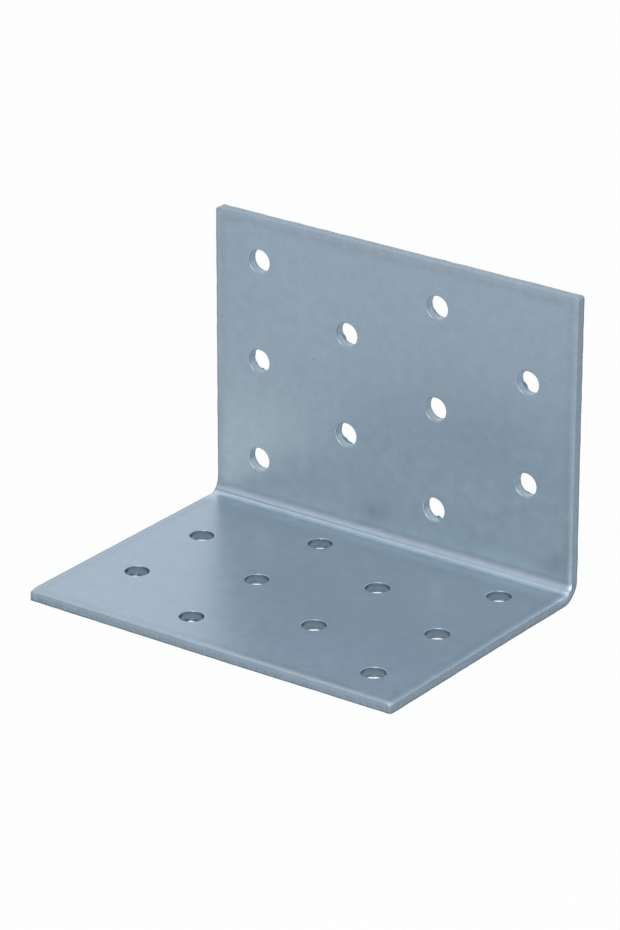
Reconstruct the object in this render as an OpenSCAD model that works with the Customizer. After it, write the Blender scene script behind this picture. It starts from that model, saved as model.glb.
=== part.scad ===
// Corner brace bracket: one rectangular sheet folded to a right angle,
// with staggered round nail holes in both flanges.
// The upright stands at the back (+Y) and the base reaches forward to -Y.
// The origin is the middle of the footprint, on the underside of the base.

/* [Overall size] */

// Length of the brace along the bend
brace_len = 80; // [50:1:200]
// Height of the upright, from the underside of the base
upright_h = 59.5; // [40:0.5:120]
// Depth of the base, from the outer face of the upright
base_d = 59.5; // [40:0.5:120]

/* [Sheet] */

// Thickness of the sheet
sheet_t = 2; // [1.5:0.1:2.6]
// Radius on the inner side of the bend
bend_r = 2.2; // [1:0.1:3.5]
// Radius of the free corners, seen square to each flange
corner_r = 0.6; // [0.4:0.1:2]

/* [Sheared edges] */

// Width of the rounded band that shearing draws along each inner edge
roll_w = 1.6; // [1:0.1:2.5]
// Depth of that band at the very edge
roll_d = 0.18; // [0.1:0.02:0.3]

/* [Holes] */

// Diameter of the straight wall of a hole
hole_d = 4.6; // [3.5:0.1:5.6]
// Width of the drawn-in rim on the inner face
rim_w = 0.18; // [0.12:0.02:0.5]
// Depth of the drawn-in rim
rim_d = 0.14; // [0.1:0.02:0.4]
// Growth of the hole's radius where the slug broke away
break_w = 0.05; // [0.03:0.01:0.15]
// Depth of the broken-away zone, at the outer face
break_d = 0.55; // [0.3:0.05:0.8]

/* [Hole pattern] */

// Distance between columns of holes, along the bend
col_pitch = 20; // [16:1:30]
// Distance between rows of holes, away from the bend
row_pitch = 10; // [9:1:20]
// Distance of the first row from the outer face of the other flange
heel_row = 10.8; // [10:0.2:16]
// Least distance from a hole's centre to a free edge
edge_min = 6; // [5:0.5:8]
// Sideways shift of the holes, towards -X on the upright and +X on the base
col_shift = 0.25; // [0:0.05:1]

/* [Hidden] */

// Names of the separate solids

// Colour of the plated steel
plate_rgb = [0.56, 0.63, 0.69];
// Facets of a drawn arc, and the overlap that makes each cut clean
arc_fn = 96;
over = 1;
// Arcs are a little flatter than a tangent one, so they meet the faces at a slight edge
roll_flat = 1.25;
rim_flat = 1.12;
corner_flat = 1.12;

// Outer radius of the bend, and the straight run of each flange beyond it
bend_out = bend_r + sheet_t;
upright_run = upright_h - bend_out;
base_run = base_d - bend_out;
// Radius of the straight wall of a hole
hole_r = hole_d / 2;
// Columns and rows that fit on each flange
cols = floor((brace_len - 2 * edge_min) / col_pitch) + 1;
upright_rows = floor((upright_h - heel_row - edge_min) / row_pitch) + 1;
base_rows = floor((base_d - heel_row - edge_min) / row_pitch) + 1;
// The upright starts its stagger on the first column, the base on the second
upright_start = 0;
base_start = 1;
stagger = 2;
// Sides towards which the two grids are shifted
upright_side = -1;
base_side = 1;

// Radius of the arc that meets both ends of a corner cut w wide and d deep
function arc_r(w, d, flat) = flat * (w * w + d * d) / (2 * min(w, d));
// Distance from the middle of the cut's chord to the centre of that arc
function arc_back(w, d, r) = sqrt(r * r - (w * w + d * d) / 4);
// Position of a column, centred on the brace
function col_x(i) = (i - (cols - 1) / 2) * col_pitch;
// Distance of a row from the bend line
function row_y(j) = heel_row - bend_out + j * row_pitch;

// Sheet lost at a square corner that an arc rounds off: the corner is at the
// origin and the sheet fills the quarter below and left of it
module corner_waste(w, d, flat) {
    r = arc_r(w, d, flat);
    back = arc_back(w, d, r);
    chord = sqrt(w * w + d * d);
    centre = [-w / 2 - back * d / chord, -d / 2 - back * w / chord];
    difference() {
        translate(centre)
            square([over - centre.x, over - centre.y]);
        translate(centre)
            circle(r = r, $fn = arc_fn);
    }
}

// Cross-section of the sheet across the brace, with its inner face at the top
module sheet_section() {
    difference() {
        translate([-brace_len / 2, 0])
            square([brace_len, sheet_t]);
        for (side = [0, 1])
            mirror([side, 0])
                translate([brace_len / 2, sheet_t])
                    corner_waste(roll_w, roll_d, roll_flat);
    }
}

// One punched hole, from the outer face at z = 0 to the inner face
module nail_hole() {
    rotate_extrude($fn = arc_fn)
        union() {
            translate([0, -over])
                square([hole_r, sheet_t + 2 * over]);
            translate([hole_r, sheet_t])
                mirror([1, 0])
                    corner_waste(rim_w, rim_d, rim_flat);
            polygon([
                [0, -over],
                [hole_r + break_w * (break_d + over) / break_d, -over],
                [hole_r, break_d],
                [0, break_d]
            ]);
        }
}

// Staggered holes of one flange
module hole_grid(rows, start, shift_side) {
    for (j = [0 : rows - 1])
        for (i = [0 : cols - 1])
            if ((i + j) % stagger == start)
                translate([col_x(i) + shift_side * col_shift, row_y(j), 0])
                    nail_hole();
}

// One flange laid flat: outer face on z = 0, bend line on y = 0
module flange(run, rows, start, shift_side) {
    difference() {
        translate([0, run, 0])
            rotate([90, 0, 0])
                linear_extrude(run)
                    sheet_section();
        translate([-brace_len / 2 - over, run, sheet_t])
            rotate([90, 0, 90])
                linear_extrude(brace_len + 2 * over)
                    corner_waste(roll_w, roll_d, roll_flat);
        for (side = [0, 1])
            mirror([side, 0, 0])
                translate([brace_len / 2, run, -over])
                    linear_extrude(sheet_t + 2 * over)
                        corner_waste(corner_r, corner_r, corner_flat);
        hole_grid(rows, start, shift_side);
    }
}

// The quarter turn between the flanges
module bend() {
    rotate([0, 90, 0])
        rotate_extrude(angle = 90, $fn = arc_fn)
            translate([bend_out, 0])
                rotate(90)
                    sheet_section();
}

module bracket() {
    color(plate_rgb)
        union() {
            translate([0, base_d / 2, bend_out])
                rotate([90, 0, 0])
                    flange(upright_run, upright_rows, upright_start, upright_side);
            translate([0, base_d / 2 - bend_out, 0])
                mirror([0, 1, 0])
                    flange(base_run, base_rows, base_start, base_side);
            translate([0, base_d / 2 - bend_out, bend_out])
                bend();
        }
}

bracket();
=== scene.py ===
import bpy
import math
from mathutils import Matrix, Vector, noise


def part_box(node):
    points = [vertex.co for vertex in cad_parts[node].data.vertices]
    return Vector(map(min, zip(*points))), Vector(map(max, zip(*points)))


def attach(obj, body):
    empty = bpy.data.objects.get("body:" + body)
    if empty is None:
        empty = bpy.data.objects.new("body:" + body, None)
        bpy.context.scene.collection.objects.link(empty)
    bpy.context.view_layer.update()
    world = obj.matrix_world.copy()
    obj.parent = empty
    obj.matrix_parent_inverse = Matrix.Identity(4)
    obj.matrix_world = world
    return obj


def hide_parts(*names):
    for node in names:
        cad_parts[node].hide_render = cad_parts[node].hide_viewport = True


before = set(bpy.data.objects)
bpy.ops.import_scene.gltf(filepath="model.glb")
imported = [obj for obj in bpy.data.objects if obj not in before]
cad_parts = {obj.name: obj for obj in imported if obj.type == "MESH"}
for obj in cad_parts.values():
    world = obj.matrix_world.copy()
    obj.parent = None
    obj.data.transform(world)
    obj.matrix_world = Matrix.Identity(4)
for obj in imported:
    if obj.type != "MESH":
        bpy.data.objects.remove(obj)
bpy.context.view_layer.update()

# Overall size in millimetres, from the solid
MM = 0.001
low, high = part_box("bracket")
LENGTH, BASE_D, UPRIGHT_H = (round((b - a) / MM, 3) for a, b in zip(low, high))
# Sheet, bend, free corners, and the band that shearing draws along each inner edge
SHEET_T = 2.0
BEND_R = 2.2
CORNER_R = 0.6
ROLL_W = 1.6
ROLL_D = 0.18
# Holes: straight wall, drawn-in rim and broken-away exit
HOLE_R = 2.3
RIM_W = 0.18
RIM_D = 0.14
BREAK_W = 0.05
BREAK_D = 0.55
# Staggered grid of the holes
COL_PITCH = 20.0
ROW_PITCH = 10.0
HEEL_ROW = 10.8
COL_SHIFT = 0.25
COLS = 4
ROWS = 5

# Places that follow from them. The heel is the outer face of the upright.
HALF = LENGTH / 2
BEND_OUT = BEND_R + SHEET_T
HALF_BEND = math.pi / 4 * (BEND_R + SHEET_T / 2)
HEEL_Y = BASE_D / 2
BEND_Y = HEEL_Y - BEND_OUT
BEND_Z = BEND_OUT


# Camera: measured place and direction of the photograph's view. It aims at a point
# this far in front of the heel and above the floor.
VIEW_AZ = 35.408
VIEW_EL = 23.139
VIEW_ROLL = 0.313
VIEW_DIST = 916.461
VIEW_RIGHT = -4.583
VIEW_UP = 3.191
VIEW_AIM = 20.0
FOCAL_PX = 5019.508
LONG_SIDE_PX = 930
SENSOR = 36.0
CLIP_NEAR, CLIP_FAR = 0.01, 50.0


def make_camera():
    a, e, r = (math.radians(v) for v in (VIEW_AZ, VIEW_EL, VIEW_ROLL))
    back = Vector((math.sin(a) * math.cos(e), -math.cos(a) * math.cos(e), math.sin(e)))
    right = Vector((math.cos(a), math.sin(a), 0.0))
    up = back.cross(right)
    right_r = right * math.cos(r) + up * math.sin(r)
    up_r = up * math.cos(r) - right * math.sin(r)
    aim = Vector((0.0, HEEL_Y - VIEW_AIM, VIEW_AIM))
    eye = aim + right * VIEW_RIGHT + up * VIEW_UP + back * VIEW_DIST
    cam = bpy.data.cameras.new("camera")
    cam.sensor_width = SENSOR
    cam.lens = FOCAL_PX * SENSOR / LONG_SIDE_PX
    cam.clip_start = CLIP_NEAR
    cam.clip_end = CLIP_FAR
    obj = bpy.data.objects.new("camera", cam)
    obj.matrix_world = Matrix(
        (
            (right_r.x, up_r.x, back.x, eye.x * MM),
            (right_r.y, up_r.y, back.y, eye.y * MM),
            (right_r.z, up_r.z, back.z, eye.z * MM),
            (0, 0, 0, 1),
        )
    )
    bpy.context.scene.collection.objects.link(obj)
    bpy.context.scene.camera = obj


# The piece is made on the flat sheet, which place() folds. A point has x along the
# brace, s along the profile away from the bend, and w down from the inner face. The
# bend's points have an angle in place of s. A distance v on the developed sheet is
# measured from the middle of the bend, positive up the upright.
UPRIGHT, BEND, BASE = 0, 1, 2
RUN = {UPRIGHT: UPRIGHT_H - BEND_OUT, BASE: BASE_D - BEND_OUT}


def place(region, x, s, w):
    if region == UPRIGHT:
        return Vector((x, HEEL_Y - SHEET_T + w, BEND_Z + s))
    if region == BASE:
        return Vector((x, BEND_Y - s, SHEET_T - w))
    r = BEND_R + w
    return Vector((x, BEND_Y + r * math.cos(s), BEND_Z - r * math.sin(s)))


def developed(region, s):
    """Distance on the developed sheet."""
    if region == UPRIGHT:
        return HALF_BEND + s
    if region == BASE:
        return -HALF_BEND - s
    return HALF_BEND * (1 - s / (math.pi / 4))


def side_of(x):
    return -1.0 if x < 0 else 1.0


def near(distance, reach):
    """1 at an edge, falling to 0 at a reach from it."""
    return max(0.0, 1.0 - distance / reach)


# Waviness of rolled sheet, which fades towards the edges. Both faces are sunk, so that
# it never stands out of the sheet's nominal thickness.
WAVE_SIZE = 24.0
WAVE_DEPTH = 0.02
WAVE_FADE = 3.0
SINK = 0.015

# Nose at the very edge, and how steeply the drawn-over band falls towards it
NOSE_R = 0.05
ROLL_POWER = 2.6
# Draw of each edge, as a share of ROLL_D, and the distance at which two of them blend
DRAW_LEFT = 0.35
DRAW_RIGHT = 1.4
DRAW_TOP = 0.12
DRAW_FRONT = 1.15
DRAW_BLEND = 0.3
# Extra draw where two edges meet, and at the base's left corner
CORNER_DRAW = 1.0
CORNER_REACH = 0.8
TIP_DRAW = 1.8
TIP_REACH = 1.7
# Radius of the base's left corner, which is cut a little sharper than the others
LEFT_CORNER_R = 0.38

# How far the real cut stands off the nominal outline, faded out over TRIM_FADE. The
# left one is given at the heel, just past the bend on the base, and at both far ends.
TRIM_FADE = 5.0
LEFT_HEEL = -0.05
LEFT_TOP = 0.28
LEFT_STEP = 0.12
LEFT_STEP_LONG = 5.0
LEFT_TIP = 0.42
RIGHT_HEEL = 0.14
RIGHT_LONG = 14.0
FRONT_IN = 0.34
FRONT_LONG = 45.0
# Unevenness of the sheared edges: size, length, reach, and its place in the noise
RAGGED = 0.07
RAGGED_LONG = 2.2
RAGGED_FADE = 1.2
RAGGED_APART = 3.7
RAGGED_SEED = 5.3

# Line that the punch's nose pressed along the inside of the bend
CREASE_V = -0.2
CREASE_W = 0.12
CREASE_D = 0.02
CREASE_FADE = 2.0
CREASE_WANDER = 0.05
CREASE_LONG = 14.0
CREASE_SEED = (7.7, 1.9)
# Metal squeezed out sideways at the two ends of the bend
BULGE = 0.16
BULGE_LONG = 2.6
BULGE_WIDE = 2.5

# The painted dark rim along the edges, painted shade over their highlight, is wider on
# the left edges and narrower on the top one, faded over NOSE_FADE. Points that aren't on
# the inner face are far from it.
NOSE_LEFT = 0.4
NOSE_TOP = 0.08
NOSE_FADE = 0.8
FAR_EDGE = 9.0


def wave(x, v):
    return WAVE_DEPTH * noise.noise(Vector((x / WAVE_SIZE, v / WAVE_SIZE, 0.0)))


def roll_drop(d):
    """Depth of the drawn-over band at a distance d from a sheared edge."""
    if d >= ROLL_W:
        return 0.0
    nose = max(0.0, NOSE_R - d)
    return ROLL_D * (1 - d / ROLL_W) ** ROLL_POWER + NOSE_R - math.sqrt(NOSE_R ** 2 - nose ** 2)


def corner_size(region, x):
    return LEFT_CORNER_R if region == BASE and x < 0 else CORNER_R


def round_corner(a, b, size):
    """Distances from two edges, moved so that the lines turn round the free corner."""
    d = min(a, b)
    r = size - d
    t = max(a, b) - d
    if r <= 0 or t >= r:
        return a, b
    turn = math.radians(45) * (1 - t / r)
    along = size - r * math.sin(turn)
    across = size - r * math.cos(turn)
    return (along, across) if a >= b else (across, along)


def edge_draw(region, side, a, b):
    """Share of the full draw at distances a and b from the end and the free edge."""
    end = DRAW_LEFT if side < 0 else DRAW_RIGHT
    if region == BEND:
        return end
    free = DRAW_TOP if region == UPRIGHT else DRAW_FRONT
    wa, wb = 1 / (a + DRAW_BLEND) ** 2, 1 / (b + DRAW_BLEND) ** 2
    corner = CORNER_DRAW * math.exp(-(a * a + b * b) / CORNER_REACH ** 2)
    draw = (wa * end + wb * free) / (wa + wb) + corner * end * free
    if region == BASE and side < 0:
        draw += TIP_DRAW * math.exp(-(a * a + b * b) / TIP_REACH ** 2)
    return draw


def trim_side(side, v):
    """How far the cut stands outside the nominal end."""
    if side > 0:
        return RIGHT_HEEL * math.exp(-(v / RIGHT_LONG) ** 2)
    if v >= 0:
        return LEFT_HEEL + (LEFT_TOP - LEFT_HEEL) * v / RUN[UPRIGHT]
    step = (LEFT_STEP - LEFT_HEEL) * min(1.0, -v / LEFT_STEP_LONG)
    return LEFT_HEEL + step + (LEFT_TIP - LEFT_STEP) * -v / RUN[BASE]


def trim_front(x):
    """How far the front cut stands inside the nominal edge."""
    return FRONT_IN * near(x + HALF, FRONT_LONG)


def ragged(t, which):
    """Unevenness of a sheared edge, at a distance t along it."""
    return RAGGED * noise.noise(Vector((t / RAGGED_LONG, which * RAGGED_APART, RAGGED_SEED)))


def crease(x, v):
    shift = CREASE_WANDER * noise.noise(Vector((x / CREASE_LONG, *CREASE_SEED)))
    c = (v - CREASE_V - shift) / CREASE_W
    return CREASE_D * math.exp(-c * c)


def bulge(a, v):
    """Sideways growth at a distance a from the end of the bend."""
    close = near(a, BULGE_WIDE)
    return BULGE * close * close * math.exp(-(v / BULGE_LONG) ** 2)


class Sheet:
    """Points and faces of the piece, with what the material reads at each point."""

    def __init__(self):
        self.points = []
        self.faces = []
        self.flat = []
        # cut and bore carry painted shade, and bore painted light where it is negative
        self.layers = {"cut": [], "torn": [], "bore": [], "edge": []}

    def add(self, region, x, s, w, cut=0.0, torn=0.0, bore=0.0, edge=FAR_EDGE):
        self.points.append(place(region, x, s, w))
        self.flat.append((x, developed(region, s), w))
        for layer, value in zip(self.layers.values(), (cut, torn, bore, edge)):
            layer.append(value)
        return len(self.points) - 1

    def quad(self, a, b, c, d, flip):
        self.faces.append((d, c, b, a) if flip else (a, b, c, d))

    def skin(self, loops, flip=False):
        """Faces between each closed loop of points and the next."""
        for upper, lower in zip(loops, loops[1:]):
            for k in range(len(upper)):
                m = (k + 1) % len(upper)
                self.quad(upper[k], upper[m], lower[m], lower[k], flip)


# Mesh lines: distances from a sheared edge, the square cell round each hole and its
# divisions, divisions of the strip beside the bend and of the bend, and the least gap
EDGE_STEPS = [0.0, 0.02, 0.05, 0.15, 0.3, 0.45, 0.6, 0.8, 1.05, 1.3, 1.6, 2.0, 2.8]
CELL = ROW_PITCH
CELL_CUTS = 14
NEAR_ROWS = 4
BEND_CUTS = 40
LINE_GAP = 0.2
FIRST_CELL_COL = len(EDGE_STEPS) + 1


def column_lines(shift):
    """Lines across the brace: edge band, cells of the holes, edge band."""
    first = -(COLS - 0.5) * CELL + shift
    cells = [first + CELL * k / CELL_CUTS for k in range((2 * COLS - 1) * CELL_CUTS + 1)]
    left = [-HALF + e for e in EDGE_STEPS]
    right = [HALF - e for e in reversed(EDGE_STEPS)]
    return left + [(left[-1] + first) / 2] + cells + [(cells[-1] + right[0]) / 2] + right


def row_lines(run):
    """Distances from the bend: a strip, cells of the holes, edge band."""
    first = HEEL_ROW - ROW_PITCH / 2 - BEND_OUT
    strip = [first * k / NEAR_ROWS for k in range(NEAR_ROWS)]
    cells = [first + CELL * k / CELL_CUTS for k in range(ROWS * CELL_CUTS + 1)]
    end = [run - e for e in reversed(EDGE_STEPS) if run - e > cells[-1] + LINE_GAP]
    return strip + cells + [(cells[-1] + end[0]) / 2] + end


def profile_lines():
    """Lines along the brace, from the upright's free edge to the base's, each as its
    region, s, and number from the bend."""
    lines = [(UPRIGHT, s, j) for j, s in enumerate(row_lines(RUN[UPRIGHT]))][::-1]
    lines += [(BEND, math.pi / 2 * k / BEND_CUTS, k) for k in range(1, BEND_CUTS)]
    return lines + [(BASE, s, j) for j, s in enumerate(row_lines(RUN[BASE]))]


def hole_places():
    """Region, column and row of every hole."""
    for region, odd in ((UPRIGHT, 0), (BASE, 1)):
        for row in range(ROWS):
            for col in range(COLS):
                if (row + col) % 2 == odd:
                    yield region, col, row


def cell_corner(col, row):
    """Mesh column and row where a hole's cell begins."""
    return FIRST_CELL_COL + 2 * col * CELL_CUTS, NEAR_ROWS + row * CELL_CUTS


def cell_squares():
    """The grid's squares that the holes' cells take up."""
    squares = set()
    for region, col, row in hole_places():
        i0, j0 = cell_corner(col, row)
        for i in range(i0, i0 + CELL_CUTS):
            squares |= {(region, i, j) for j in range(j0, j0 + CELL_CUTS)}
    return squares


def add_grid_point(sheet, region, x, s):
    """The points of the two faces at a nominal place of the flat sheet."""
    side = side_of(x)
    a = HALF - abs(x)
    b = HALF
    if region != BEND:
        b = RUN[region] - s
        a_turned, b_turned = round_corner(a, b, corner_size(region, x))
        x, s = side * (HALF - a_turned), RUN[region] - b_turned
    d = min(a, b)
    v = developed(region, s)
    x += side * trim_side(side, v) * near(a, TRIM_FADE)
    x += ragged(v, side) * near(a, RAGGED_FADE)
    if region == BASE:
        s -= trim_front(x) * near(b, TRIM_FADE)
    if region != BEND:
        s += ragged(x, region) * near(b, RAGGED_FADE)

    inside = min(1.0, d / WAVE_FADE)
    bow = wave(x, v) * inside
    inner = roll_drop(d) * edge_draw(region, side, a, b) + max(bow, -SINK) + SINK * inside
    outer = SHEET_T - SINK * inside + min(bow, SINK)
    edge = d
    if region == BEND:
        inner += crease(x, v) * min(1.0, d / CREASE_FADE)
    if side < 0:
        edge -= NOSE_LEFT * near(a, NOSE_FADE)
    if region == UPRIGHT:
        edge += NOSE_TOP * near(b, NOSE_FADE)
    x_inner = x + side * bulge(a, v)
    return sheet.add(region, x_inner, s, inner, edge=edge), sheet.add(region, x, s, outer)


def build_sheet():
    sheet = Sheet()
    lines = profile_lines()
    up_cols, base_cols = column_lines(-COL_SHIFT), column_lines(COL_SHIFT)
    squares = cell_squares()

    # The plain grid of both faces, without the points inside the holes' cells
    grid = ({}, {})
    for n, (region, s, j) in enumerate(lines):
        turned = {UPRIGHT: 0.0, BEND: s / (math.pi / 2), BASE: 1.0}[region]
        for i, (x_up, x_base) in enumerate(zip(up_cols, base_cols)):
            if {(region, i, j), (region, i - 1, j - 1)} <= squares:
                continue
            x = x_up * (1 - turned) + x_base * turned
            grid[0][i, n], grid[1][i, n] = add_grid_point(sheet, region, x, s)
    for n, (line, after) in enumerate(zip(lines, lines[1:])):
        for i in range(len(up_cols) - 1):
            if line[0] == after[0] and (line[0], i, min(line[2], after[2])) in squares:
                continue
            for face in (0, 1):
                corners = (i, n), (i + 1, n), (i + 1, n + 1), (i, n + 1)
                sheet.quad(*(grid[face][c] for c in corners), flip=(face == 0))

    line_no = {(region, j): n for n, (region, s, j) in enumerate(lines)}
    for region, col, row in hole_places():
        i0, j0 = cell_corner(col, row)
        outline = [(i0 + i, line_no[region, j0 + j]) for i, j in cell_outline()]
        frames = [[grid[face][c] for c in outline] for face in (0, 1)]
        Hole(sheet, region, col, row).add(*frames)
    add_walls(sheet, grid, lines, len(up_cols))
    return sheet


# Sheared edges: depths of the mesh lines down them, depth at which a fully drawn edge
# starts, and depth at which the smooth band gives way to the torn one
WALL_DEPTHS = [0.28, 0.5, 0.75, 0.85, 1.05, 1.3, 1.6, 1.85, 1.96]
EDGE_DEPTH = 0.23
BURNISH_END = 0.8
# Torn band: how fast it sets in, how far it leans in and where it is straight again,
# and the depth and size of its roughness
TORN_RISE = 4
EDGE_LEAN = 0.035
LEAN_END = 1.1
TEAR_D = 0.03
TEAR_SIZE = (0.7, 0.7, 0.5)
# Painted shade on the sheared faces, set by which way each faces; the same mark makes
# them a little smoother and streaked. That of the ends grows beside the bend on the upright.
CUT_TOP = 1.5
CUT_FRONT = 0.4
CUT_END = 1.8
CUT_HEEL = 1.0
HEEL_RISE = 3.0
HEEL_LONG = 30.0
# Painted shade along the outer edge, and painted light on the top edge's torn band
LIP_FROM = 1.6
OUTER_EDGE_SHADE = 2.6
TOP_PAINTED_LIGHT = 0.65
# Allowance for rounding
TINY = 1e-6


def edge_loop(ncol, nline):
    """Grid places along the outline of the flat sheet."""
    loop = [(i, 0) for i in range(ncol)]
    loop += [(ncol - 1, n) for n in range(1, nline)]
    loop += [(i, nline - 1) for i in range(ncol - 2, -1, -1)]
    return loop + [(0, n) for n in range(nline - 2, 0, -1)]


def outward(region, x, v, at_end, at_free):
    """Direction out of the sheet in x and s, which turns round the free corners."""
    nx = side_of(x) if at_end else 0.0
    ns = 1.0 if at_free else 0.0
    if region != BEND:
        size = corner_size(region, x)
        a = HALF - abs(x)
        b = RUN[region] - (abs(v) - HALF_BEND)
        if max(a, b) < size - TINY:
            nx = (size - a) / size * side_of(x)
            ns = (size - b) / size
    length = math.hypot(nx, ns)
    return nx / length, ns / length


def add_wall_line(sheet, region, s, inner, outer, nx, ns):
    """One line of points down a sheared edge: smooth, then torn down to the burr."""
    x, v, _ = sheet.flat[outer]
    x_in, _, start = sheet.flat[inner]
    free = CUT_TOP if region == UPRIGHT else CUT_FRONT
    # Painted shade of this sheared face, by which way it faces and beside the bend
    face_shade = free + (CUT_END - free) * nx * nx
    face_shade += CUT_HEEL * nx * nx * min(1.0, max(0.0, v) / HEEL_RISE) * near(v, HEEL_LONG)
    top = 1.0 - nx * nx if region == UPRIGHT else 0.0
    squeeze = (SHEET_T - start) / (SHEET_T - EDGE_DEPTH)
    line = [inner]
    for level in WALL_DEPTHS:
        depth = SHEET_T - (SHEET_T - level) * squeeze
        torn, lean = 0.0, 0.0
        if depth > BURNISH_END:
            f = (depth - BURNISH_END) / (SHEET_T - BURNISH_END)
            torn = min(1.0, f * TORN_RISE)
            spot = Vector([p / size for p, size in zip((x, v, depth), TEAR_SIZE)])
            lean = -EDGE_LEAN * math.sin(math.pi * min(1.0, f * LEAN_END))
            lean = min(lean + TEAR_D * noise.noise(spot) * torn, 0.0)
        f = depth / SHEET_T
        px = x_in + (x - x_in) * f * f * (3 - 2 * f) + nx * lean
        # Painted shade along the outer edge of the sheared face, and painted light on the top
        # edge's torn band
        lip = OUTER_EDGE_SHADE * (1.0 - top) * max(0.0, (depth - LIP_FROM) / (SHEET_T - LIP_FROM))
        shade = lip - TOP_PAINTED_LIGHT * top * torn
        line.append(sheet.add(region, px, s + ns * lean, depth, face_shade, torn, shade))
    return line + [outer]


def add_walls(sheet, grid, lines, ncol):
    walls = []
    for i, n in edge_loop(ncol, len(lines)):
        region, s, _ = lines[n]
        inner, outer = grid[0][i, n], grid[1][i, n]
        x, v, _ = sheet.flat[outer]
        if region != BEND:
            s = abs(v) - HALF_BEND
        way = outward(region, x, v, i in (0, ncol - 1), n in (0, len(lines) - 1))
        walls.append(add_wall_line(sheet, region, s, inner, outer, *way))
    sheet.skin(list(zip(*walls)))


# Burrs left at the exits of some holes: (flange, column, row): (angle, width, reach),
# with angles in degrees and the reach towards the hole's middle in millimetres
BURRS = {
    (UPRIGHT, 1, 3): [(215, 15, 0.35)],
    (UPRIGHT, 3, 3): [(218, 17, 0.5)],
    (UPRIGHT, 1, 1): [(235, 17, 0.38), (264, 9, 0.2)],
    (UPRIGHT, 0, 2): [(258, 8, 0.25)],
    (UPRIGHT, 2, 0): [(267, 11, 0.4)],
    (UPRIGHT, 3, 1): [(258, 8, 0.22), (115, 8, 0.25)],
    (UPRIGHT, 2, 4): [(230, 22, 0.12)],
    (BASE, 0, 3): [(201, 9, 0.26), (245, 14, 0.42)],
    (BASE, 1, 4): [(208, 11, 0.3), (254, 14, 0.42)],
    (BASE, 1, 0): [(270, 40, 0.06)],
}
# Mesh rings of a hole: steps out to the square cell, round rings on the two faces,
# steps round the rim, and depths down the bore and the broken-away exit
CELL_STEPS = (0.34, 0.67, 1.0)
CELL_RING = 3.2
INNER_RING = 2.85
OUTER_RING = 2.55
RIM_STEPS = 6
BORE_DEPTHS = (0.22, 0.5, 0.8, 1.1, 1.4)
EXIT_DEPTHS = (1.47, 1.6, 1.78, 1.93, 1.985)
RING_ANGLES = [math.pi * (2 * k / (4 * CELL_CUTS) - 1 / 4) for k in range(4 * CELL_CUTS)]
# Broken-away exit: height and frequency of its unevenness, the small teeth left on it,
# and how fast its torn look sets in
EXIT_WAVE = 0.04
EXIT_WAVES = 3.2
EXIT_TWIST = 2.0
TOOTH = 0.35
TEETH = 5.5
TOOTH_FROM = 0.3
TOOTH_SEED = 9.0
EXIT_TORN = 0.1
EXIT_RISE = 3
HOLE_SEED = (17.3, 5.1, 31.0)
# Sharp lip round the exit on the outer face: width, sheared-face painted shade, and
# painted shade
LIP_W = 0.05
LIP_CUT = 0.3
LIP_SHADE = 0.5

# Painted shade in the bores of the two flanges, where a negative value is painted light,
# as in the upright; painted shade at their rims, which dims their highlight; and more per
# millimetre of a burr, which dims its glint. The upright's lower rows get more painted
# shade, and its bores more at the left, turned down by BORE_TURN degrees, where they also
# get the sheared faces' painted shade.
BORE_BASE = 0.35
BORE_UPRIGHT = -0.6
BORE_HEEL = 0.5
HEEL_ROWS = 2
BORE_SHADE = 0.6
BORE_CUT = 0.3
BORE_LEFT = 0.95
BORE_TURN = 25.0
RIM_BASE = 0.8
RIM_UPRIGHT = 2.7
BURR_BASE = 9.0
BURR_UPRIGHT = 4.0


def cell_outline():
    """Places round a hole's square cell, in step with RING_ANGLES."""
    n = CELL_CUTS
    outline = [(n, k) for k in range(n)]
    outline += [(n - k, n) for k in range(n)]
    outline += [(0, n - k) for k in range(n)]
    return outline + [(k, 0) for k in range(n)]


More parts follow.
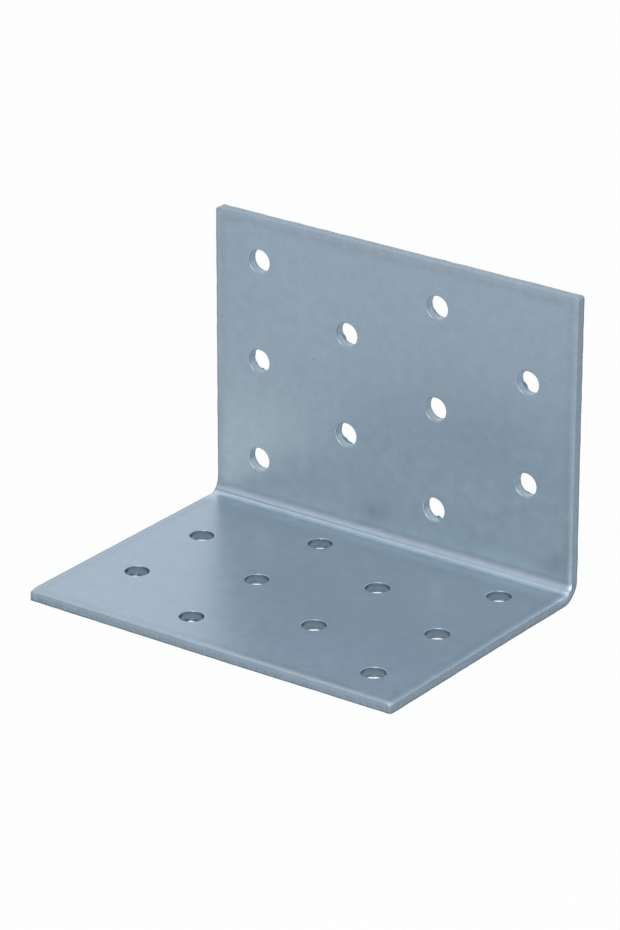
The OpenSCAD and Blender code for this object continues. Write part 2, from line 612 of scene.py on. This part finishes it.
class Hole:
    """One punched hole in its square cell, from the inner face to the outer."""

    def __init__(self, sheet, region, col, row):
        self.sheet = sheet
        self.region = region
        self.burrs = BURRS.get((region, col, row), [])
        self.seed = sum(k * v for k, v in zip(HOLE_SEED, (col, row, region)))
        shift = COL_SHIFT if region == BASE else -COL_SHIFT
        self.x = (col - (COLS - 1) / 2) * COL_PITCH + shift
        self.s = HEEL_ROW - BEND_OUT + row * ROW_PITCH
        # Painted shade at the rims, in the bores, and on burrs, where it dims their glints
        self.rim, self.dark, self.burr_shade = RIM_BASE, BORE_BASE, BURR_BASE
        if region == UPRIGHT:
            self.rim, self.dark, self.burr_shade = RIM_UPRIGHT, BORE_UPRIGHT, BURR_UPRIGHT
            self.dark += BORE_HEEL if row < HEEL_ROWS else 0.0

    def point(self, angle, radius, w, *layers):
        x, s = self.x + radius * math.cos(angle), self.s + radius * math.sin(angle)
        return self.sheet.add(self.region, x, s, w, *layers)

    def ring(self, radius, w, *layers):
        return [self.point(angle, radius, w, *layers) for angle in RING_ANGLES]

    def face_ring(self, frame_ids, t, w):
        """A ring between the square cell's outline, at 0, and the round ring, at 1."""
        ring = []
        for angle, ident in zip(RING_ANGLES, frame_ids):
            x, v, depth = self.sheet.flat[ident]
            s = abs(v) - HALF_BEND
            x = x * (1 - t) + (self.x + CELL_RING * math.cos(angle)) * t
            s = s * (1 - t) + (self.s + CELL_RING * math.sin(angle)) * t
            ring.append(self.sheet.add(self.region, x, s, depth * (1 - t) + w * t))
        return ring

    def rim_ring(self, step):
        a = math.pi / 2 * step / RIM_STEPS
        radius = HOLE_R + RIM_W * (1 - math.sin(a))
        w = SINK + (RIM_D - SINK) * (1 - math.cos(a))
        # Painted shade at the rim, which dims its highlight
        return self.ring(radius, w, 0.0, 0.0, self.rim * (step / RIM_STEPS) ** 2)

    def bore_point(self, angle, radius, w, torn=0.0, spur=0.0):
        # Painted shade in the bore, more at the left in the upright, and painted light where
        # negative
        cut, bore = 1.0, self.dark + self.burr_shade * spur
        if self.region == UPRIGHT:
            left = max(0.0, -math.cos(angle - math.radians(BORE_TURN))) ** 2
            cut = BORE_CUT + BORE_LEFT * left
            bore += BORE_SHADE * left
        return self.point(angle, radius, w, cut, torn, bore)

    def spur(self, angle):
        """How far the burrs reach into the hole."""
        reach = 0.0
        for at, width, size in self.burrs:
            off = (math.degrees(angle) - at + 180.0) % 360.0 - 180.0
            reach += size * math.exp(-(off / width) ** 2)
        return reach

    def exit_point(self, angle, w):
        f = (w - (SHEET_T - BREAK_D)) / BREAK_D
        way = Vector((math.cos(angle), math.sin(angle), 0.0))
        uneven = noise.noise(way * EXIT_WAVES + Vector((0.0, 0.0, self.seed + w * EXIT_TWIST)))
        tooth = noise.noise(way * TEETH + Vector((0.0, 0.0, self.seed + TOOTH_SEED)))
        spur = self.spur(angle)
        reach = TOOTH * max(0.0, tooth - TOOTH_FROM) + spur
        radius = HOLE_R + (BREAK_W + EXIT_WAVE * uneven - reach) * f
        return self.bore_point(angle, radius, w, min(1.0, f * EXIT_RISE + EXIT_TORN), spur)

    def add(self, inner_frame, outer_frame):
        rings = [inner_frame]
        rings += [self.face_ring(inner_frame, t, SINK) for t in CELL_STEPS]
        rings += [self.ring(INNER_RING, SINK)]
        rings += [self.rim_ring(step) for step in range(RIM_STEPS + 1)]
        rings += [[self.bore_point(a, HOLE_R, w) for a in RING_ANGLES] for w in BORE_DEPTHS]
        rings += [[self.exit_point(a, w) for a in RING_ANGLES] for w in EXIT_DEPTHS]
        rings += [self.ring(HOLE_R + BREAK_W + LIP_W, SHEET_T, LIP_CUT, 0.0, LIP_SHADE)]
        rings += [self.ring(OUTER_RING, SHEET_T - SINK)]
        rings += [self.face_ring(outer_frame, t, SHEET_T - SINK) for t in reversed(CELL_STEPS)]
        rings += [outer_frame]
        self.sheet.skin(rings, flip=(self.region == BASE))


# Edges that turn by more than this stay sharp
SHARP_DEG = 38


def make_sheet_object():
    sheet = build_sheet()
    mesh = bpy.data.meshes.new("folded_sheet")
    mesh.from_pydata([tuple(p * MM) for p in sheet.points], [], sheet.faces)
    flat = mesh.attributes.new("flat", "FLOAT_VECTOR", "POINT")
    flat.data.foreach_set("vector", [c for p in sheet.flat for c in p])
    for name, values in sheet.layers.items():
        layer = mesh.attributes.new(name, "FLOAT", "POINT")
        layer.data.foreach_set("value", values)
    mesh.update()
    mesh.validate()
    mesh.shade_smooth()
    mesh.set_sharp_from_angle(angle=math.radians(SHARP_DEG))
    obj = bpy.data.objects.new("folded_sheet", mesh)
    bpy.context.scene.collection.objects.link(obj)
    mesh.materials.append(zinc_material())
    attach(obj, "root")
    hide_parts("bracket")


WHITE = (1.0, 1.0, 1.0, 1.0)


class Nodes:
    """Short calls that add shader nodes to a tree; each gives back its output."""

    def __init__(self, tree):
        self.tree = tree

    def new(self, kind, **values):
        node = self.tree.nodes.new(kind)
        for key, value in values.items():
            setattr(node, key, value)
        return node

    def link(self, out, into):
        self.tree.links.new(out, into)

    def feed(self, socket, value):
        """Sets a socket to a number or colour, or links another node's output to it."""
        if isinstance(value, (int, float, tuple)):
            socket.default_value = value
        else:
            self.link(value, socket)

    def math(self, op, *values):
        node = self.new("ShaderNodeMath", operation=op)
        for socket, value in zip(node.inputs, values):
            self.feed(socket, value)
        return node.outputs[0]

    def ramp(self, value, low, high, to_low=0.0, to_high=1.0):
        node = self.new("ShaderNodeMapRange", clamp=True)
        for socket, v in zip(node.inputs, (value, low, high, to_low, to_high)):
            self.feed(socket, v)
        return node.outputs[0]

    def mix(self, factor, a, b, mode="MIX"):
        node = self.new("ShaderNodeMix", data_type="RGBA", blend_type=mode)
        for k, v in ((0, factor), (6, a), (7, b)):
            self.feed(node.inputs[k], v)
        return node.outputs[2]

    def times(self, a, b):
        """Product of two colours."""
        return self.mix(1.0, a, b, "MULTIPLY")

    def grey(self, value):
        node = self.new("ShaderNodeCombineColor")
        for socket in node.inputs:
            self.link(value, socket)
        return node.outputs[0]

    def change(self, value, mask, amount):
        """The value times 1 plus an amount where the mask is 1."""
        return self.math("MULTIPLY", value, self.math("MULTIPLY_ADD", mask, amount, 1.0))

    def sway(self, value, pattern, amount):
        """The value, moved both ways by a pattern of mean 0.5."""
        return self.math("MULTIPLY_ADD", self.math("SUBTRACT", pattern, 0.5), amount, value)

    def noise(self, vector, stretch, scale, detail, rough):
        if stretch:
            mapping = self.new("ShaderNodeMapping")
            self.link(vector, mapping.inputs["Vector"])
            mapping.inputs["Scale"].default_value = stretch
            vector = mapping.outputs["Vector"]
        node = self.new("ShaderNodeTexNoise")
        self.link(vector, node.inputs["Vector"])
        node.inputs["Scale"].default_value = scale
        node.inputs["Detail"].default_value = detail
        node.inputs["Roughness"].default_value = rough
        node.inputs["Distortion"].default_value = 0.0
        return node.outputs["Fac"]

    def attribute(self, name, kind="Fac"):
        return self.new("ShaderNodeAttribute", attribute_name=name).outputs[kind]


# Zinc plating: the colour that the metal reflects, and its roughness
ZINC = (0.428, 0.489, 0.545, 1.0)
ZINC_ROUGH = 0.34
# Patterns on the flat sheet: stretch, scale per millimetre, detail, roughness
PATTERNS = {
    "cloud": (None, 0.055, 4.0, 0.55),
    "mottle": (None, 0.42, 5.0, 0.62),
    "grain": (None, 3.2, 3.0, 0.6),
    "rolled": ((0.05, 1.6, 1.0), 1.0, 3.0, 0.6),
    "wander": ((0.09, 0.0, 0.0), 1.0, 2.0, 0.5),
    "edge_patches": (None, 1.1, 4.0, 0.6),
    "tears": ((1.0, 1.0, 0.35), 3.4, 4.0, 0.65),
    "streaks": ((2.6, 2.6, 0.25), 1.0, 3.0, 0.6),
}
# How much they change the tone, the roughness, and the height in millimetres
TONE_SWAY = {"cloud": 0.09, "mottle": 0.24, "grain": 0.2, "rolled": 0.04}
ROUGH_SWAY = {"mottle": 0.16, "cloud": 0.1}
HEIGHT_SWAY = {"grain": 0.004, "mottle": 0.01}
# Small dark pits: cells per millimetre, edge of a pit, share of the cells, and depths
PIT_SCALE = 0.24
PIT_EDGE = (0.03, 0.08)
PIT_PICK = (0.45, 0.75)
PIT_TONE = -0.22
PIT_HEIGHT = -0.02
# Painted light and shade across the bend and up the upright, against v: a painted
# highlight on the bend's base side, a painted darker band just up the upright, and
# painted reflected light over the upright's lower part, fading out by v = 28:
# (v, red and green, blue), with the highest value that the stops may have
BEND_PAINTED_LIGHT = [
    (-8.5, 1.0, 1.0),
    (-6.5, 0.99, 0.99),
    (-5.5, 1.03, 1.02),
    (-4.6, 1.14, 1.11),
    (-3.6, 1.305, 1.27),
    (-2.7, 1.405, 1.37),
    (-1.8, 1.42, 1.4),
    (-1.2, 1.38, 1.38),
    (-0.7, 1.25, 1.25),
    (-0.2, 1.08, 1.08),
    (0.2, 0.97, 0.98),
    (0.6, 0.95, 0.97),
    (0.95, 0.86, 0.89),
    (1.3, 0.77, 0.8),
    (1.7, 0.78, 0.81),
    (2.3, 0.99, 0.97),
    (3.0, 1.16, 1.1),
    (14.0, 1.16, 1.1),
    (28.0, 1.0, 1.0),
]
TONE_TOP = 1.5
# Painted shade along the crease inside the bend: sideways wander, soft half width,
# and its tone along x, darker to the left
LINE_WANDER = 0.2
LINE_HALF = (0.08, 0.34)
CREASE_SHADE_TONE = (-30.0, 40.0, -0.36, -0.1)
# Painted shade near the ends beside the bend on the upright, which takes back the
# painted reflected light there: where v sets it in and lets it fade, and its tone
# against the distance from the edge
BAND_RISE = (2.0, 3.0)
BAND_FADE = (14.0, 28.0)
HEEL_EDGE_SHADE = (0.4, 1.6, -0.15, 0.0)
# A patchy darker band near the sheared edges, where the drawn-over band begins: where
# it sets in and fades, and how patchy it is
PATCH_IN = (0.5, 1.2)
PATCH_OUT = (1.6, 2.6)
PATCH_SPREAD = (0.38, 0.62, 0.3, 1.0)
PATCH_TONE = -0.09
# Painted shade on the sheared faces and the edges' painted dark rim; the torn band's
# tone against its pattern
CUT_SHADE = -0.13
NOSE_WIDE = 0.12
EDGE_RIM_SHADE = -0.22
TORN_TONE = (0.3, 0.7, 0.64, 0.98)
# Painted shade in the bores, at rims, burrs and lips: its tint, darkness per unit, and
# the darkest
BORE_SHADE_TINT = (0.84, 0.94, 1.0, 1.0)
BORE_DARK = -0.12
DARKEST = 0.3
# Roughness added by the torn and sheared faces and by the rims, and their relief
TORN_ROUGH = 0.16
CUT_ROUGH = -0.04
RIM_ROUGH = 0.3
RIM_FROM = (1.0, 2.0)
STREAK_HEIGHT = 0.02
TEAR_HEIGHT = 0.09


class Zinc(Nodes):
    """The plating, with the traces of rolling, punching and shearing, and with painted
    light and shade across the bend, at the edges and in the holes.
    """

    def __init__(self, tree):
        super().__init__(tree)
        self.flat = self.attribute("flat", "Vector")
        self.cut, self.torn, self.bore, self.edge = (
            self.attribute(name) for name in ("cut", "torn", "bore", "edge")
        )
        split = self.new("ShaderNodeSeparateXYZ")
        self.link(self.flat, split.inputs[0])
        self.x, self.v = split.outputs[:2]
        self.pattern = {name: self.noise(self.flat, *how) for name, how in PATTERNS.items()}
        self.pit = self.pits()

    def pits(self):
        cells = self.new("ShaderNodeTexVoronoi", feature="F1", distance="EUCLIDEAN")
        self.link(self.flat, cells.inputs["Vector"])
        cells.inputs["Scale"].default_value = PIT_SCALE
        spot = self.ramp(cells.outputs["Distance"], *PIT_EDGE, 1.0, 0.0)
        return self.math("MULTIPLY", spot, self.ramp(cells.outputs["Color"], *PIT_PICK))

    def bend_painted_light(self):
        # Painted highlight, shade and reflected light across the bend and the upright's lower
        # part
        stops = self.new("ShaderNodeValToRGB")
        first, last = BEND_PAINTED_LIGHT[0][0], BEND_PAINTED_LIGHT[-1][0]
        self.link(self.ramp(self.v, first, last), stops.inputs[0])
        ramp = stops.color_ramp.elements
        for v, warm, blue in BEND_PAINTED_LIGHT:
            at = (v - first) / (last - first)
            stop = ramp[0] if v == first else ramp[-1] if v == last else ramp.new(at)
            stop.position = at
            stop.color = (warm / TONE_TOP, warm / TONE_TOP, blue / TONE_TOP, 1.0)
        return stops.outputs[0]

    def crease_shade(self):
        # Painted shade along the crease
        off = self.math("SUBTRACT", self.v, CREASE_V)
        off = self.sway(off, self.pattern["wander"], LINE_WANDER)
        line = self.ramp(self.math("ABSOLUTE", off), *LINE_HALF, 1.0, 0.0)
        return self.math("MULTIPLY", line, self.ramp(self.x, *CREASE_SHADE_TONE))

    def band(self):
        # Painted shade close to the ends, up the upright's lower part
        begin, end = self.ramp(self.v, *BAND_RISE), self.ramp(self.v, *BAND_FADE, 1.0, 0.0)
        reach = self.math("MULTIPLY", begin, end)
        return self.math("MULTIPLY", reach, self.ramp(self.edge, *HEEL_EDGE_SHADE))

    def edge_patches(self):
        begin, end = self.ramp(self.edge, *PATCH_IN), self.ramp(self.edge, *PATCH_OUT, 1.0, 0.0)
        patchy = self.ramp(self.pattern["edge_patches"], *PATCH_SPREAD)
        return self.math("MULTIPLY", self.math("MULTIPLY", begin, end), patchy)

    def tone(self):
        tone = 1.0
        for name, amount in TONE_SWAY.items():
            tone = self.sway(tone, self.pattern[name], amount)
        tone = self.math("MULTIPLY", self.change(tone, self.pit, PIT_TONE), TONE_TOP)
        # Painted shade along the crease
        tone = self.change(tone, self.crease_shade(), 1.0)
        # Painted shade close to the ends beside the bend
        tone = self.change(tone, self.band(), 1.0)
        tone = self.change(tone, self.edge_patches(), PATCH_TONE)
        # Painted shade on the sheared faces
        tone = self.change(tone, self.cut, CUT_SHADE)
        # Painted dark rim at the very edges
        return self.change(tone, self.ramp(self.edge, 0.0, NOSE_WIDE, 1.0, 0.0), EDGE_RIM_SHADE)

    def colour(self):
        # The plate's colour carries the painted light and shade of the bend's stops and of tone()
        plate = self.times(self.times(ZINC, self.bend_painted_light()), self.grey(self.tone()))
        torn = self.times(ZINC, self.grey(self.ramp(self.pattern["tears"], *TORN_TONE)))
        bare = self.mix(self.torn, plate, torn)
        # Painted shade, and painted light where negative, from the bore mark, with its tint
        shade = self.math("MULTIPLY_ADD", self.bore, BORE_DARK, 1.0)
        shade = self.math("MAXIMUM", shade, DARKEST)
        tint = self.mix(self.math("MINIMUM", self.bore, 1.0), WHITE, BORE_SHADE_TINT)
        return self.times(self.times(bare, tint), self.grey(shade))

    def roughness(self):
        rough = ZINC_ROUGH
        for name, amount in ROUGH_SWAY.items():
            rough = self.sway(rough, self.pattern[name], amount)
        rough = self.math("MULTIPLY_ADD", self.torn, TORN_ROUGH, rough)
        rough = self.math("MULTIPLY_ADD", self.cut, CUT_ROUGH, rough)
        return self.math("MULTIPLY_ADD", self.ramp(self.bore, *RIM_FROM), RIM_ROUGH, rough)

    def relief(self):
        """Normal of the fine relief, from its height in millimetres."""
        height = 0.0
        for name, amount in HEIGHT_SWAY.items():
            height = self.sway(height, self.pattern[name], amount)
        streaks = self.math("MULTIPLY", self.pattern["streaks"], self.cut)
        height = self.math("MULTIPLY_ADD", streaks, STREAK_HEIGHT, height)
        tears = self.math("MULTIPLY", self.pattern["tears"], self.torn)
        height = self.math("MULTIPLY_ADD", tears, TEAR_HEIGHT, height)
        height = self.math("MULTIPLY_ADD", self.pit, PIT_HEIGHT, height)
        bump = self.new("ShaderNodeBump")
        bump.inputs["Strength"].default_value = 1.0
        bump.inputs["Distance"].default_value = MM
        self.link(height, bump.inputs["Height"])
        return bump.outputs["Normal"]


def zinc_material():
    mat = bpy.data.materials.new("zinc_plating")
    mat.use_nodes = True
    zinc = Zinc(mat.node_tree)
    bsdf = mat.node_tree.nodes["Principled BSDF"]
    bsdf.inputs["Metallic"].default_value = 1.0
    zinc.link(zinc.colour(), bsdf.inputs["Base Color"])
    zinc.link(zinc.roughness(), bsdf.inputs["Roughness"])
    zinc.link(zinc.relief(), bsdf.inputs["Normal"])
    return mat


# Studio: a pale floor just under the part, and a white surround. The soft light is
# slightly cool, while the floor and the background are seen as white.
FLOOR = (0.775, 0.81, 0.82)
FLOOR_ROUGH = 0.9
FLOOR_SIZE = 6.0
FLOOR_GAP = 0.0001
# How white the camera sees the floor, how much of that glows in reflections, and how
# much of the surround's strength lights the part
FLOOR_WHITE = 0.965
FLOOR_GLOSS = 0.25
WORLD_FILL = 0.6
LIGHT = (0.864, 0.934, 1.0, 1.0)
# Soft lamps: azimuth (0 in front, 90 to the right), elevation, distance, size, power
LAMPS = {
    "front": (20.0, 30.0, 1.5, 1.0, 10.3),
    "top": (0.0, 88.0, 1.5, 1.0, 1.3),
}


def seen_share(n, seen, gloss):
    """seen for camera and glass rays, gloss for reflections, 0 for the rest."""
    path = n.new("ShaderNodeLightPath")
    direct = n.math("MAXIMUM", path.outputs["Is Camera Ray"], path.outputs["Is Transmission Ray"])
    shine = n.math("MULTIPLY", path.outputs["Is Glossy Ray"], gloss)
    return n.math("MAXIMUM", n.math("MULTIPLY", direct, seen), shine)


def glow_colour(n):
    """White where it is seen, the light's own colour elsewhere."""
    return n.mix(seen_share(n, 1.0, 0.0), LIGHT, WHITE)


def make_world():
    world = bpy.data.worlds.new("studio")
    bpy.context.scene.world = world
    world.use_nodes = True
    n = Nodes(world.node_tree)
    back = world.node_tree.nodes["Background"]
    n.link(glow_colour(n), back.inputs["Color"])
    n.link(n.ramp(seen_share(n, 1.0, 1.0), 0.0, 1.0, WORLD_FILL, 1.0), back.inputs["Strength"])


def floor_material():
    mat = bpy.data.materials.new("floor")
    mat.use_nodes = True
    n = Nodes(mat.node_tree)
    bsdf = mat.node_tree.nodes["Principled BSDF"]
    bsdf.inputs["Base Color"].default_value = (*FLOOR, 1.0)
    bsdf.inputs["Roughness"].default_value = FLOOR_ROUGH
    bsdf.inputs["Specular IOR Level"].default_value = 0.0
    white = n.new("ShaderNodeEmission")
    n.link(glow_colour(n), white.inputs["Color"])
    white.inputs["Strength"].default_value = 1.0
    both = n.new("ShaderNodeMixShader")
    n.link(seen_share(n, FLOOR_WHITE, FLOOR_GLOSS), both.inputs[0])
    n.link(bsdf.outputs[0], both.inputs[1])
    n.link(white.outputs[0], both.inputs[2])
    n.link(both.outputs[0], mat.node_tree.nodes["Material Output"].inputs["Surface"])
    return mat


def make_floor():
    mesh = bpy.data.meshes.new("floor")
    h = FLOOR_SIZE / 2
    mesh.from_pydata([(-h, -h, 0), (h, -h, 0), (h, h, 0), (-h, h, 0)], [], [(0, 1, 2, 3)])
    mesh.materials.append(floor_material())
    floor = bpy.data.objects.new("floor", mesh)
    floor.location.z = -FLOOR_GAP
    bpy.context.scene.collection.objects.link(floor)


def make_lamps():
    for name, (azimuth, elevation, distance, size, power) in LAMPS.items():
        lamp = bpy.data.lights.new(name, "AREA")
        lamp.shape = "DISK"
        lamp.size = size
        lamp.energy = power
        lamp.color = LIGHT[:3]
        obj = bpy.data.objects.new(name, lamp)
        az, el = math.radians(azimuth), math.radians(elevation)
        way = Vector((math.sin(az) * math.cos(el), -math.cos(az) * math.cos(el), math.sin(el)))
        obj.location = way * distance
        obj.rotation_euler = way.to_track_quat("Z", "Y").to_euler()
        bpy.context.scene.collection.objects.link(obj)


make_camera()
make_world()
make_floor()
make_lamps()
make_sheet_object()
bpy.context.scene.view_settings.view_transform = "Standard"
